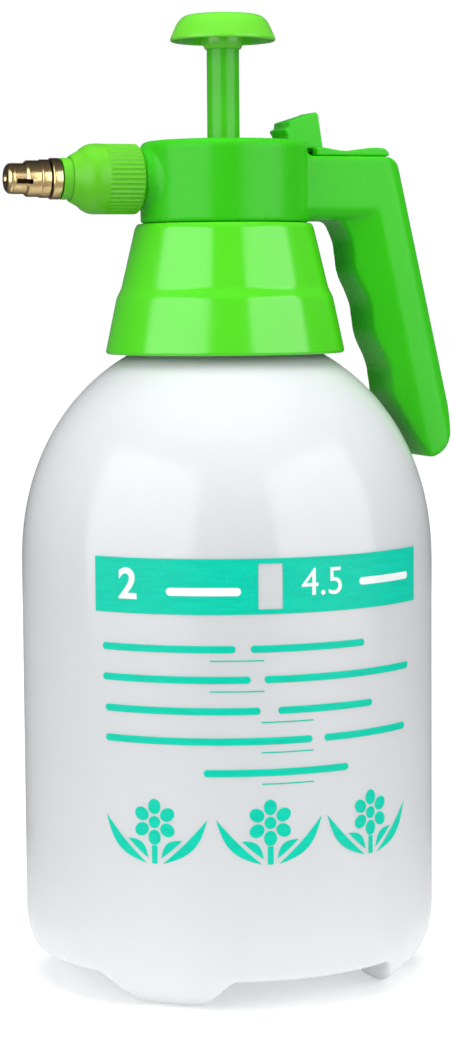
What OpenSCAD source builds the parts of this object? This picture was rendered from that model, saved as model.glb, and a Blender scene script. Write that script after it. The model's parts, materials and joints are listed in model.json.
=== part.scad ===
// Hand-held compression sprayer with a two-litre blow-moulded bottle, a screw collar,
// a pump with a mushroom knob, a thumb-lever valve and an adjustable brass nozzle.
// Millimetres. The origin is on the bottle's axis in the plane of its feet: +Z is up,
// +X points at the handle and the nozzle points along -X.

/* [Bottle] */
// Outer radius of the straight wall
body_r = 64; // [62:0.5:66]
// Height where the straight wall ends and the dome starts
dome_start = 128.7; // [126:0.1:130]
// Height the dome would reach on the axis
dome_rise = 72.5; // [71:0.5:74]
// Exponent of the dome's curve: 2 is an ellipse, more is squarer
dome_power = 2.15; // [2:0.05:2.4]
// Wall thickness of the bottle
bottle_wall = 2; // [1.5:0.1:2.5]
// Outer radius of the neck
neck_r = 23.5; // [23:0.1:23.8]
// Radius of the mouth
mouth_r = 21; // [20.8:0.1:21.2]
// Height of the mouth's rim
mouth_z = 219; // [217:0.5:219]
// Radius of the neck thread's crest
neck_crest_r = 24.9; // [24.5:0.1:24.9]

/* [Feet] */
// Radial depth of the rounded corner under the straight wall
corner_depth = 15; // [13:0.5:16]
// Height of that rounded corner
corner_height = 21.6; // [18:0.2:24]
// Height of the arches between the feet
arch_height = 10; // [9:0.5:12]
// Half the width of an arch at the ground
arch_half_width = 31; // [30:0.5:32]
// Half the width of an arch at its roof
arch_roof_half = 26.5; // [24:0.5:28]
// Turn of the four feet about the axis
feet_turn = 7; // [0:1:45]

/* [Collar] */
// Height of the collar's lower rim
collar_bottom = 193.5; // [193:0.5:195]
// Height of the step in the collar's skirt
collar_step = 212.2; // [210:0.2:214]
// Height of the collar's top
collar_top = 233.5; // [233:0.1:233.5]
// Outer radius at the top
collar_top_r = 27.7; // [27.2:0.1:28]
// Outer radius just above the step
collar_waist_r = 32.1; // [31.6:0.1:32.5]
// Outer radius at the lower rim
collar_skirt_r = 37.1; // [36.7:0.1:37.5]

/* [Head] */
// Outer radius of the head's drum
head_r = 25.9; // [25.4:0.1:26.1]
// Height of the drum's top
head_top = 258.7; // [258.5:0.1:259.5]
// Height of the nozzle's axis
nozzle_z = 247; // [246.8:0.1:247.2]
// Distance from the bottle's axis to the riser and the valve
riser_x = 17.3; // [17.2:0.05:17.4]

/* [Handle] */
// Height of the arm's top
arm_top = 254; // [253.8:0.1:254.4]
// Height of the arm's underside
arm_bottom = 234.3; // [234:0.1:236]
// Half the width of the arm and the grip
handle_half_width = 13; // [12.5:0.5:14]
// Lean of the grip's back away from the vertical
grip_lean = 12.7; // [11.5:0.1:13.5]
// Furthest reach of the grip from the bottle's axis
handle_reach = 71.8; // [71.5:0.1:73]
// Height of the grip's lowest point
grip_bottom = 159.5; // [158:0.5:162]
// Depth of the finger grooves
groove_depth = 1.5; // [0.5:0.1:2]

/* [Pump] */
// Radius of the plunger's rod
rod_r = 5; // [4.7:0.05:5]
// Bore radius of the pump barrel
barrel_bore_r = 11; // [10.8:0.1:11]
// Outer radius of the pump barrel
barrel_r = 12.5; // [12.4:0.05:12.5]
// Height of the barrel's lower end
barrel_bottom = 113; // [110:0.5:116]
// Height of the piston's lower face
piston_bottom = 145; // [143:0.5:150]
// Height of the knob's rim
knob_rim_z = 289.3; // [288.5:0.1:290]
// Height of the knob's crown
knob_top_z = 297.8; // [297:0.1:299]
// Radius of the knob's rim
knob_r = 16.3; // [15.5:0.1:16.5]

/* [Valve] */
// Height of the thumb lever's pivot
lever_pivot_z = 255.3; // [255.2:0.05:255.4]
// Distance from the bottle's axis to the thumb lever's pivot
lever_pivot_x = 11.3; // [11.2:0.05:11.4]
// Height of the valve seat's lower face
seat_z = 243.4; // [243.2:0.1:243.6]
// Coils in the valve spring
spring_turns = 4; // [3:1:5]

/* [Nozzle] */
// Distance from the bottle's axis to the union nut's rear face
nut_start = 28.1; // [28:0.1:28.5]
// Distance from the bottle's axis to the nozzle's tip
nozzle_reach = 69.6; // [69:0.1:70.5]
// Outer radius of the union nut
nut_r = 10.7; // [10.5:0.05:10.9]
// Grip ribs around the union nut
nut_ribs = 44; // [30:2:48]
// Outer radius of the nozzle body's stub
stub_r = 6.3; // [6.2:0.05:6.35]
// Outer radius of the brass cap's flange
cap_r = 6.25; // [6.1:0.05:6.4]

/* [Quality] */
// Facets around a full circle
facets = 96; // [48:8:160]

/* [Hidden] */
$fn = facets;
overlap = 0.02;         // union overlap between features of one solid
cut = 1;                // how far a cutter runs past a face
fit = 0.05;             // radial clearance of a sliding or running fit
snug = 0.02;            // radial clearance of a glued or pushed fit

head_green = "#46c834";
collar_green = "#62df3c";
lime = "#7cdc3a";
milky = "#e6e9ec";
black_rubber = "#26272a";
steel = "#b9bcc0";
brass = "#d0a85c";
white_plastic = "#f2f2ef";

// Stack of the pump flange between the bottle's mouth and the head.
gasket_t = 1.5;
flange_t = 2.8;
flange_r = 25;
flange_z = mouth_z + gasket_t;
flange_top = flange_z + flange_t;
plate_t = 3;
plate_z = flange_top + 0.1;
head_bottom = collar_top + 0.1;
spigot_r = mouth_r;
plug_r = 13.6;
plug_top = 233;
screw_circle_r = 17.3;
screw_r = 1.5;
screw_head_r = 2.6;
screw_head_t = 2;
screw_length = 8;
screw_angles = [75, 180, 285];

// Rod guide and the gallery round it that takes liquid from the valve to the nozzle.
guide_r = 11.75;
guide_top = 251;
guide_neck_r = 8;
guide_cup_top = 240;
gallery_r = 9.2;
gallery_z = [244, 248];
guide_ring_z = [242.5, 249.5];
barrel_ring_z = 229;
ring_section = 0.68;    // half the thickness of the O-rings
groove_half = 0.9;      // half the width of their grooves

// Plunger: the piston on the rod's thin end, its seal, and the socket in the knob.
piston_top = piston_bottom + 12;
rod_end_r = 3;
seal_depth = 2.15;
seal_low = piston_bottom + 4;
seal_high = piston_bottom + 7.6;
knob_socket_z = 293.5;

// Check valve under the barrel.
disc_r = 6.5;
disc_t = 1.5;

// Valve stack, upwards from the riser tube.
tube_r = 3;
tube_bore_r = 2;
tube_top = 234.5;
tube_bottom = 18;
throat_r = 1.7;
spring_z = 235.6;
spring_r = 2.6;
wire_r = 0.3;
spring_chamber_r = 3.7;
stem_r = 1.5;
poppet_r = 3;
poppet_z = 240.4;
poppet_t = 1.8;
washer_r = 3.2;
valve_bore_r = 4.62;
seat_t = 1.6;
seat_hole_r = 2.1;
gland_z = 248.6;
gland_top = 252;
seal_t = 1.5;
seal_r = 2.9;
outlet_z = 246.8;
outlet_r = 1.1;
stem_tip_z = 255.3;

// Thumb lever.
lever_half_width = 6.2;
pad_half_width = 7;
hub_r = 2.3;
pin_r = 1.25;
pin_half_length = 8.9;
slot_start_x = 8.8;
slot_floor_z = gland_top;
tongue_t = 2.5;
pad_back_x = 30.3;

// Nozzle stack, as distances along -X from the bottle's axis.
neck_end = 37.5;
neck_thread_r = 8;
root_start = 23;
root_r = 11.6;
passage_r = 1.5;
nozzle_gasket_t = 1.2;
body_flange_start = neck_end + nozzle_gasket_t;
body_flange_end = 42.9;
nut_shoulder_x = 42;
nut_tip = 49.6;
nut_rib_end = 39;
stub_end = 52.6;
cap_start = 52.8;
cap_bore_end = 60.5;
cap_throat_r = 2.6;
cap_throat_end = 66;
spigot_nose_r = 4.5;
spigot_nose_end = 58.5;
cap_ring_x = 54.7;

// Handle.
corner_round = 7;
tip_round = 9.5;
edge_round = 4.4;
grip_back_round = 7;
grip_nose_half = 5;
grip_depth = 32;
grip_crease = 11.5;     // from the grip's back to the crease on its flank
grip_back_x = 54.7;     // where the grip's back would meet the arm's top
grip_front_top = [35.6, arm_bottom];
grip_front_low = [52.3, 180];
groove_pitch = 19.5;
groove_start_z = 218.2;
handle_tip_x = 63.6;
handle_wall = 3;
pocket_x = [27, 49];
pocket_half_width = 8.5;
pocket_floor_z = 238;
cover_x = [26.4, 50.8];
cover_half_width = 11.6;
cover_rise = 2.2;

// ---- helpers ----

// Points of an arc about [x, y].
function arc(x, y, r, from, to, steps = 6) =
    [for (i = [0:steps]) let (a = from + (to - from) * i / steps) [x + r * cos(a), y + r * sin(a)]];

// Cylinder between two heights.
module post(r, low, high) translate([0, 0, low]) cylinder(h = high - low, r = r);

// Ring between two heights.
module ring(outer, inner, low, high) difference() {
    post(outer, low, high);
    post(inner, low - cut, high + cut);
}

// Ring of round section about Z.
module o_ring(r, section, z)
    translate([0, 0, z]) rotate_extrude() translate([r, 0]) circle(section, $fn = 32);

// Turns local +Z into -X along the nozzle's axis.
module along_nozzle() translate([0, 0, nozzle_z]) rotate([0, -90, 0]) children();

// Extrudes an [x, z] outline evenly about the plane y = 0.
module slab(points, half_width)
    rotate([90, 0, 0]) linear_extrude(height = 2 * half_width, center = true) polygon(points);

// Block from two opposite corners.
module block(low, high) translate(low) cube(high - low);

// ---- bottle ----

// Outline of the bottle for a wall set back by inset: the corner under the straight wall
// as a point at a height, and the dome as a height at a radius.
function corner_point(z, inset) = let (t = (corner_height - z) / (corner_height - inset))
    [body_r - inset - (corner_depth - inset) * (1 - sqrt(max(0, 1 - t * t))), z];
function dome_z(r, inset) =
    dome_start + (dome_rise - inset) * pow(1 - pow(r / (body_r - inset), 2), 1 / dome_power);

module bottle_solid(inset, neck, top) {
    corner_steps = 10;
    dome_steps = 18;
    rotate_extrude() polygon(concat(
        [[0, inset]],
        [for (i = [0:corner_steps])
            corner_point(inset + (corner_height - inset) * (1 - cos(90 * i / corner_steps)), inset)],
        [for (i = [0:dome_steps - 1]) let (r = neck + (body_r - inset - neck) * cos(90 * i / dome_steps))
            [r, dome_z(r, inset)]],
        [[neck, dome_z(neck, inset)], [neck, top], [0, top]]));
}

// Two crossed tunnels with sloping sides, which leave four feet standing.
module arches(inset) {
    top = arch_height + inset;
    foot = arch_half_width + inset;
    roof = arch_roof_half + inset;
    flare = 0.4;
    for (turn = [0, 90]) rotate(feet_turn + turn) rotate([90, 0, 0])
        linear_extrude(height = 4 * body_r, center = true)
            polygon([[-foot - flare, -cut], [foot + flare, -cut], [foot, 0],
                     [roof, top], [-roof, top], [-foot, 0]]);
}

module thread_ring(root, crest, z, half_base = 1.2, half_crest = 0.5)
    rotate_extrude() polygon([[root, z - half_base], [crest, z - half_crest],
                              [crest, z + half_crest], [root, z + half_base]]);

thread_pitch = 5;
thread_z = [for (i = [0:2]) mouth_z - 5.5 - i * thread_pitch];

module bottle() color(milky) difference() {
    union() {
        difference() { bottle_solid(0, neck_r, mouth_z); arches(0); }
        for (z = thread_z) thread_ring(neck_r - overlap, neck_crest_r, z);
    }
    difference() { bottle_solid(bottle_wall, mouth_r, mouth_z + cut); arches(bottle_wall); }
}

module neck_gasket() color(black_rubber) ring(neck_r + 1.3, mouth_r + 0.3, mouth_z, flange_z);

// ---- collar ----

module collar() color(collar_green) {
    sleeve_r = 26.3;
    sleeve_bottom = 198.5;
    sleeve_outer = 28.5;
    recess_top = 209.5;
    skirt_wall = 2.3;
    step_out = 1.5;
    step_half = 1.5;
    bevel = 0.6;
    top_bevel = [0.8, 1.3];
    lip = 2.8;
    rotate_extrude() polygon([
        [collar_top_r - lip, collar_top], [collar_top_r - top_bevel[0], collar_top],
        [collar_top_r, collar_top - top_bevel[1]],
        [collar_waist_r, collar_step + step_half], [collar_waist_r + step_out, collar_step - step_half],
        [collar_skirt_r, collar_bottom + bevel], [collar_skirt_r - bevel, collar_bottom],
        [collar_skirt_r - skirt_wall, collar_bottom], [collar_waist_r - 0.7, recess_top],
        [sleeve_outer, recess_top], [sleeve_outer, sleeve_bottom], [sleeve_r, sleeve_bottom],
        [sleeve_r, plate_z], [spigot_r + 0.2, plate_z], [spigot_r + 0.2, plate_z + plate_t],
        [collar_top_r - lip, plate_z + plate_t]]);
    for (z = thread_z) thread_ring(sleeve_r + overlap, neck_crest_r + 0.2, z - thread_pitch / 2);
}

// ---- head ----

module drum() {
    rim = 2.2;
    rotate_extrude() polygon(concat(
        [[0, head_bottom], [head_r, head_bottom]],
        arc(head_r - rim, head_top - rim, rim, 0, 90),
        [[0, head_top]]));
}

// Flared boss on the drum that carries the nozzle's thread.
module nozzle_neck() along_nozzle() {
    flare_steps = 8;
    flare = nut_start - 0.5 - root_start;
    rotate_extrude() polygon(concat(
        [[0, root_start]],
        [for (i = [0:flare_steps]) let (t = i / flare_steps)
            [9.4 + (root_r - 9.4) * pow(1 - t, 2), root_start + flare * t]],
        [[neck_thread_r, nut_start - 0.5], [neck_thread_r, neck_end], [0, neck_end]]));
}

// Height-to-x lines of the grip's back and front.
function back_x(z) = min(handle_reach, grip_back_x + (arm_top - z) * tan(grip_lean));
function front_x(z) = grip_front_top[0] + (grip_front_top[1] - z)
    * (grip_front_low[0] - grip_front_top[0]) / (grip_front_top[1] - grip_front_low[1]);
function groove(z) = groove_depth * (1 - cos(360 * (z - groove_start_z) / groove_pitch)) / 2;

function handle_outline(root_x) = concat(
    [[root_x, arm_bottom], grip_front_top],
    [for (z = [arm_bottom - 2:-1.6:grip_front_low[1] + 1]) [front_x(z) + groove(z), z]],
    [grip_front_low, [handle_tip_x, grip_bottom + 0.4]],
    arc(handle_reach - tip_round, grip_bottom + tip_round, tip_round, -75, 0, 10),
    [[handle_reach, arm_top - (handle_reach - grip_back_x) / tan(grip_lean)]],
    arc(back_x(arm_top - corner_round) - corner_round, arm_top - corner_round, corner_round, 0, 90),
    [[root_x, arm_top]]);

// Cross-section of the grip, measured forwards from its back: flat flanks behind the
// crease, and in front of it two faces that close in towards the fingers.
function grip_section(half, nose, crease, depth, round) = concat(
    arc(-round, half - round, round, 0, 90),
    [[-crease, half], [-depth, nose], [-depth, -nose], [-crease, -half]],
    arc(-round, round - half, round, -90, 0));

module leaning_prism(points, low, high, back = 0)
    translate([back_x(arm_top) - back, 0, arm_top]) rotate([0, -grip_lean, 0])
        translate([0, 0, low]) linear_extrude(height = high - low) polygon(points);

module handle_solid() {
    outline = handle_outline(root_x = 15);
    grip_shape = grip_section(handle_half_width, grip_nose_half, grip_crease, grip_depth, grip_back_round);
    intersection() {
        slab(outline, handle_half_width + cut);
        union() {
            leaning_prism(grip_shape, -120, 10);
            // The arm, with rounded lower edges.
            rotate([90, 0, 90]) linear_extrude(height = grip_back_x - 5) polygon(concat(
                arc(edge_round - handle_half_width, arm_bottom + edge_round, edge_round, 180, 270),
                arc(handle_half_width - edge_round, arm_bottom + edge_round, edge_round, 270, 360),
                [[handle_half_width, arm_top + cut], [-handle_half_width, arm_top + cut]]));
        }
    }
}

// Hollow of the arm and the grip, open at the top under the cover.
module handle_hollow() {
    core_depth = 12.5;
    core_low = -73;
    half = handle_half_width - handle_wall;
    core_shape = grip_section(half, half - 4, core_depth / 2, core_depth, 3);
    block([pocket_x[0], -pocket_half_width, pocket_floor_z], [pocket_x[1], pocket_half_width, arm_top + cut]);
    intersection() {
        leaning_prism(core_shape, core_low, 5, handle_wall + 0.5);
        block([pocket_x[0], -half, grip_bottom], [handle_reach, half, arm_top - handle_wall]);
    }
}

// Everything bored into the head, from the bottle side to the valve.
module head_bores() {
    post(plug_r + fit, 0, plug_top + 0.1);
    post(guide_r + fit, plug_top, guide_top + 0.1);
    post(guide_neck_r + fit, guide_top, head_top + cut);
    for (a = screw_angles) rotate(a) translate([screw_circle_r, 0, 0])
        post(screw_r + fit, 0, flange_z + screw_length + 0.5);
    translate([riser_x, 0, 0]) {
        post(tube_r + snug, 0, tube_top + 0.1);
        post(throat_r, tube_top, spring_z + overlap);
        post(spring_chamber_r, spring_z, seat_z + overlap);
        post(valve_bore_r, seat_z, head_top);
    }
    translate([riser_x, 0, outlet_z]) rotate([0, -90, 0]) cylinder(h = 7, r = outlet_r);
    along_nozzle() post(passage_r, gallery_r, neck_end + cut);
    block([slot_start_x, -pad_half_width - 0.4, slot_floor_z],
          [head_r + 2, pad_half_width + 0.4, head_top + cut]);
    // The lever pin goes in from the far side.
    translate([lever_pivot_x, head_r, lever_pivot_z]) rotate([90, 0, 0])
        cylinder(h = head_r + pin_half_length + 0.1, r = pin_r + snug);
}

module head_shell() color(head_green) difference() {
    union() {
        drum();
        post(spigot_r, flange_top, head_bottom + overlap);
        nozzle_neck();
        handle_solid();
    }
    head_bores();
    handle_hollow();
}

// Wavy strip that closes the arm from above, with two clip legs.
module handle_top_cover() color(head_green) {
    steps = 16;
    end_round = 2.6;
    wave_start = cover_x[1] - end_round;
    wave_half = 0.55;
    base = arm_top + 0.02;
    leg_half = pocket_half_width - 0.15;
    leg = [6, 1.6, 6.1];
    leg_x = 38;
    difference() {
        slab(concat(
            [[cover_x[0], base]],
            arc(wave_start, base, end_round, 0, 75),
            [for (i = [0:steps]) let (t = i / steps)
                [wave_start + (cover_x[0] - wave_start) * t,
                 arm_top + cover_rise + wave_half * cos(410 * t - 40)]]),
            cover_half_width);
        post(head_r + 0.15, arm_top - cut, head_top);
        block([cover_x[0] - cut, -pad_half_width - 0.4, arm_top - cut],
              [pad_back_x + 0.8, pad_half_width + 0.4, head_top]);
    }
    for (side = [-1, 1]) translate([leg_x, side * (leg_half - leg[1] / 2), arm_top - 3])
        cube(leg, center = true);
}

// ---- thumb lever and valve ----

module thumb_lever() color(head_green) difference() {
    // Measured from the pivot.
    pad_outline = [[7.3, 1], [7.3, 5], [6.3, 6.7], [6.6, 7.3], [7.7, 7.6], [7.8, 9.5],
                   [15.6, 11.9], [16.6, 12.4], [17.4, 11.7], [pad_back_x - lever_pivot_x, 1]];
    union() {
        translate([lever_pivot_x, 0, lever_pivot_z]) rotate([90, 0, 0])
            cylinder(h = 2 * lever_half_width, r = hub_r, center = true);
        block([lever_pivot_x, -lever_half_width, lever_pivot_z + 0.05],
              [pad_back_x, lever_half_width, lever_pivot_z + tongue_t]);
        // Thumb pad: two steps at the front, a rising top and a leaning back.
        translate([lever_pivot_x, 0, lever_pivot_z]) slab(pad_outline, pad_half_width);
    }
    translate([lever_pivot_x, 0, lever_pivot_z]) rotate([90, 0, 0])
        cylinder(h = 3 * lever_half_width, r = pin_r + fit, center = true);
}

module lever_pin() color(steel) translate([lever_pivot_x, 0, lever_pivot_z]) rotate([90, 0, 0])
    cylinder(h = 2 * pin_half_length, r = pin_r, center = true);

module valve_seat() color(white_plastic) translate([riser_x, 0, 0])
    ring(valve_bore_r - snug, seat_hole_r, seat_z, seat_z + seat_t);

module valve_stem() color(white_plastic) translate([riser_x, 0, 0]) {
    dome_z0 = stem_tip_z - stem_r;
    post(1.2, poppet_z - 1.8, poppet_z + overlap);
    post(poppet_r, poppet_z, poppet_z + poppet_t);
    post(stem_r, poppet_z + poppet_t - overlap, dome_z0);
    translate([0, 0, dome_z0]) intersection() {
        sphere(stem_r, $fn = 32);
        post(stem_r, -overlap, stem_r + cut);
    }
}

module valve_washer() color(black_rubber) translate([riser_x, 0, 0])
    ring(washer_r, stem_r, poppet_z + poppet_t, seat_z);

// Round wire swept up a helix, one ring of points for each step.
module valve_spring() color(steel) {
    turn_steps = 20;
    sides = 8;
    count = spring_turns * turn_steps;
    rise = poppet_z - spring_z - 2 * wire_r;
    points = [for (i = [0:count], s = [0:sides - 1])
        let (a = 360 * i / turn_steps, b = 360 * s / sides, r = spring_r + wire_r * cos(b))
            [r * cos(a), r * sin(a), wire_r + rise * i / count + wire_r * sin(b)]];
    walls = [for (i = [0:count - 1], s = [0:sides - 1])
        let (t = (s + 1) % sides) [i * sides + s, i * sides + t, (i + 1) * sides + t, (i + 1) * sides + s]];
    first = [for (s = [sides - 1:-1:0]) s];
    last = [for (s = [0:sides - 1]) count * sides + s];
    translate([riser_x, 0, spring_z]) polyhedron(points, concat(walls, [first, last]));
}

module valve_gland() color(white_plastic) translate([riser_x, 0, 0]) difference() {
    ring(valve_bore_r - snug, stem_r + fit, gland_z, gland_top);
    post(seal_r, gland_z - cut, gland_z + seal_t + 0.1);
}

module stem_seal() color(black_rubber) translate([riser_x, 0, 0])
    ring(seal_r, stem_r + 0.03, gland_z + 0.05, gland_z + seal_t);

// ---- pump ----

module pump_barrel() color(white_plastic) {
    end_wall = 2;
    port_r = 1.1;
    port_circle_r = 4;
    difference() {
        union() {
            post(barrel_r, barrel_bottom, flange_top);
            post(flange_r, flange_z, flange_top);
            post(plug_r, flange_top - overlap, plug_top);
        }
        post(barrel_bore_r, barrel_bottom + end_wall, plug_top + cut);
        for (i = [0:5]) rotate(60 * i) translate([port_circle_r, 0, 0])
            post(port_r, barrel_bottom - cut, barrel_bottom + end_wall + cut);
        translate([riser_x, 0, 0]) post(tube_r + 0.1, flange_z - cut, flange_top + cut);
        for (a = screw_angles) rotate(a) translate([screw_circle_r, 0, 0])
            post(screw_r + 0.1, flange_z - cut, flange_top + cut);
        ring(plug_r + cut, plug_r - 2 * ring_section,
             barrel_ring_z - groove_half, barrel_ring_z + groove_half);
    }
}

module barrel_o_ring() color(black_rubber) o_ring(plug_r - ring_section + 0.01, ring_section, barrel_ring_z);

module flange_screw() difference() {
    recess_r = 1.1;
    union() {
        post(screw_head_r, flange_z - screw_head_t, flange_z);
        post(screw_r, flange_z - overlap, flange_z + screw_length);
    }
    translate([0, 0, flange_z - screw_head_t - cut]) cylinder(h = 1 + cut, r = recess_r, $fn = 6);
}

module flange_screws() color(steel)
    for (a = screw_angles) rotate(a) translate([screw_circle_r, 0, 0]) flange_screw();

module rod_guide() color(head_green) difference() {
    union() {
        post(guide_r, plug_top + 0.2, guide_top);
        post(guide_neck_r, guide_top - overlap, head_top);
    }
    post(rod_r + fit, plug_top - cut, head_top + cut);
    post(guide_r - 2, plug_top - cut, guide_cup_top);
    ring(guide_r + cut, gallery_r, gallery_z[0], gallery_z[1]);
    for (z = guide_ring_z) ring(guide_r + cut, guide_r - 2 * ring_section, z - groove_half, z + groove_half);
}

module guide_o_rings() color(black_rubber)
    for (z = guide_ring_z) o_ring(guide_r - ring_section + 0.01, ring_section, z);

module pump_knob() color(head_green) {
    crown_r = 11.9;
    shoulder_r = 13.6;
    boss_z = 286.8;
    boss_r = 6.8;
    skirt_wall = 1.7;
    difference() {
        rotate_extrude() polygon([
            [0, boss_z], [boss_r - 1, boss_z], [boss_r, knob_rim_z + 1], [boss_r, knob_socket_z + 0.5],
            [shoulder_r - skirt_wall, knob_socket_z - 0.5], [knob_r - skirt_wall, knob_rim_z],
            [knob_r - 0.3, knob_rim_z], [knob_r, knob_rim_z + 0.5], [knob_r - 1, knob_rim_z + 2.9],
            [shoulder_r, knob_top_z - 1.9], [crown_r, knob_top_z - 0.5], [0, knob_top_z]]);
        post(rod_r + snug, boss_z - cut, knob_socket_z);
    }
}

module pump_rod() color(head_green) {
    post(rod_r, piston_top, knob_socket_z - 0.1);
    post(rod_end_r, piston_bottom + 1, piston_top + overlap);
}

module piston() color(white_plastic) difference() {
    post(barrel_bore_r - 0.4, piston_bottom, piston_top);
    post(rod_end_r + snug, piston_bottom - cut, piston_top + cut);
    ring(barrel_bore_r, barrel_bore_r - seal_depth, seal_low, seal_high);
}

module piston_seal() color(black_rubber)
    ring(barrel_bore_r - fit, barrel_bore_r - seal_depth + fit, seal_low + 0.1, seal_high - 0.1);

module check_disc() color(black_rubber) post(disc_r, barrel_bottom - disc_t, barrel_bottom);

// Cup that screws on the barrel's end and lets the disc drop by its free travel.
module check_valve_cage() color(white_plastic) difference() {
    cage_r = 13.9;
    cage_half = 6;
    pocket_r = 7.4;
    pocket_depth = 3.2;
    port_r = 1.2;
    post(cage_r, barrel_bottom - cage_half, barrel_bottom + cage_half);
    post(barrel_r + snug, barrel_bottom, barrel_bottom + cage_half + cut);
    post(pocket_r, barrel_bottom - pocket_depth, barrel_bottom + cut);
    for (i = [0:3]) rotate(45 + 90 * i) translate([0, 0, barrel_bottom - pocket_depth / 2])
        rotate([0, 90, 0]) cylinder(h = cage_r + cut, r = port_r);
}

module dip_tube() color(white_plastic)
    translate([riser_x, 0, 0]) ring(tube_r, tube_bore_r, tube_bottom, tube_top);

module strainer() color(lime) translate([riser_x, 0, 0]) difference() {
    strainer_r = 3.6;
    chamber_r = 2.5;
    chamber_bottom = tube_bottom - 3;
    floor_t = 1.5;
    length = 11;
    slit_half = 0.4;
    post(strainer_r, chamber_bottom - floor_t, tube_bottom + length);
    post(tube_r + snug, tube_bottom - snug, tube_bottom + length + cut);
    post(chamber_r, chamber_bottom, tube_bottom);
    for (i = [0:5]) rotate(60 * i)
        block([chamber_r - slit_half, -slit_half, chamber_bottom + 0.4],
              [strainer_r + cut, slit_half, tube_bottom - 0.4]);
}

// ---- nozzle ----

module nozzle_nut() color(lime) along_nozzle() difference() {
    rib_height = 0.35;
    rib_half = 0.38;
    shoulder_round = 6.2;
    union() {
        rotate_extrude() polygon(concat(
            [[0, nut_start], [nut_r - rib_height - 0.4, nut_start], [nut_r - rib_height, nut_start + 0.4],
             [nut_r - rib_height, nut_rib_end], [nut_r, nut_rib_end + 0.3]],
            [for (p = arc(nut_shoulder_x, nut_r - shoulder_round, shoulder_round, 90, 38)) [p[1], p[0]]],
            [[stub_r + 0.5, nut_tip - 0.3], [stub_r + 0.3, nut_tip], [0, nut_tip]]));
        for (i = [0:nut_ribs - 1]) rotate(360 * i / nut_ribs)
            block([nut_r - 2 * rib_height, -rib_half, nut_start + 0.6], [nut_r, rib_half, nut_rib_end + 0.2]);
    }
    post(neck_thread_r + 0.1, nut_start - cut, body_flange_end + 0.1);
    post(stub_r + 0.07, body_flange_end, nut_tip + cut);
}

module nozzle_body() color(lime) along_nozzle() difference() {
    union() {
        post(neck_thread_r - 0.1, body_flange_start, body_flange_end);
        post(stub_r, body_flange_end - overlap, stub_end);
        post(spigot_nose_r, stub_end - overlap, spigot_nose_end);
    }
    post(1.6, body_flange_start - cut, spigot_nose_end + cut);
}

module nozzle_gasket() color(black_rubber) along_nozzle() ring(6, 2.2, neck_end, body_flange_start);

module nozzle_o_ring() color(black_rubber) along_nozzle()
    o_ring(spigot_nose_r + fit + 0.4, 0.4, cap_ring_x);

// Core that spins the liquid: a square stem in the nozzle body and a slotted head.
module swirl_core() color(white_plastic) along_nozzle() difference() {
    stem_half = 1.05;
    stem_start = spigot_nose_end - 4.5;
    core_r = 2.2;
    slot_depth = 0.9;
    slot_half = 0.4;
    union() {
        block([-stem_half, -stem_half, stem_start], [stem_half, stem_half, spigot_nose_end + 0.5]);
        post(core_r, spigot_nose_end + 0.1, cap_throat_end - 0.1);
    }
    for (i = [0:2]) rotate(120 * i)
        block([core_r - slot_depth, -slot_half, cap_throat_end - 2],
              [core_r + cut, slot_half, cap_throat_end + cut]);
}

module nozzle_cap() color(brass) along_nozzle() difference() {
    seam_x = 56;
    seam_depth = 0.45;
    cap_ring_r = 5.8;
    cap_ring_end = 59.2;
    cap_waist_r = 5.5;
    cap_waist_end = 63.4;
    cap_tip_r = 4.65;
    cap_hole_r = 0.5;
    cap_slot_x = [62.2, 67.1];
    cap_slot_half = 0.75;
    cap_slot_r = 3.9;
    rotate_extrude() polygon([
        [0, cap_start], [cap_r - 0.3, cap_start], [cap_r, cap_start + 0.3],
        [cap_r, seam_x - 0.4], [cap_r - seam_depth, seam_x], [cap_r - seam_depth, seam_x + 0.4],
        [cap_ring_r, seam_x + 0.7], [cap_ring_r, cap_ring_end], [cap_waist_r, cap_ring_end + 0.3],
        [cap_waist_r, cap_waist_end], [cap_tip_r, cap_waist_end + 0.5],
        [cap_tip_r, nozzle_reach - 1.8], [cap_tip_r - 0.25, nozzle_reach - 0.9],
        [cap_tip_r - 0.75, nozzle_reach - 0.3], [cap_tip_r - 1.4, nozzle_reach], [0, nozzle_reach]]);
    post(spigot_nose_r + fit, cap_start - cut, cap_bore_end);
    post(cap_throat_r, cap_bore_end - overlap, cap_throat_end);
    post(cap_hole_r, cap_throat_end - cut, nozzle_reach + cut);
    translate([0, 0, nozzle_reach - 1]) cylinder(h = 1.01, r1 = cap_hole_r, r2 = 3 * cap_hole_r);
    ring(spigot_nose_r + 0.9, spigot_nose_r, cap_ring_x - 0.45, cap_ring_x + 0.45);
    for (i = [0:3]) rotate(90 * i + 12)
        block([cap_slot_r, -cap_slot_half, cap_slot_x[0]], [cap_r, cap_slot_half, cap_slot_x[1]]);
}

bottle();
neck_gasket();
collar();
head_shell();
handle_top_cover();
thumb_lever();
lever_pin();
pump_barrel();
barrel_o_ring();
flange_screws();
rod_guide();
guide_o_rings();
pump_knob();
pump_rod();
piston();
piston_seal();
check_disc();
check_valve_cage();
valve_seat();
valve_stem();
valve_washer();
valve_spring();
valve_gland();
stem_seal();
dip_tube();
strainer();
nozzle_nut();
nozzle_body();
nozzle_gasket();
nozzle_o_ring();
swirl_core();
nozzle_cap();
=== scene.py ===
"""Looks for a hand-held compression sprayer: a milky two-litre bottle, a green collar, a head
with a pistol grip, a plunger, a thumb lever and a brass nozzle.

Lengths are written in millimetres and scaled by MM where a mesh is made. The Z axis is the
bottle's axis, the handle is at +X and the nozzle points along -X.
"""
import json
import math

import bmesh
import bpy
from mathutils import Matrix, Vector


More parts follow.
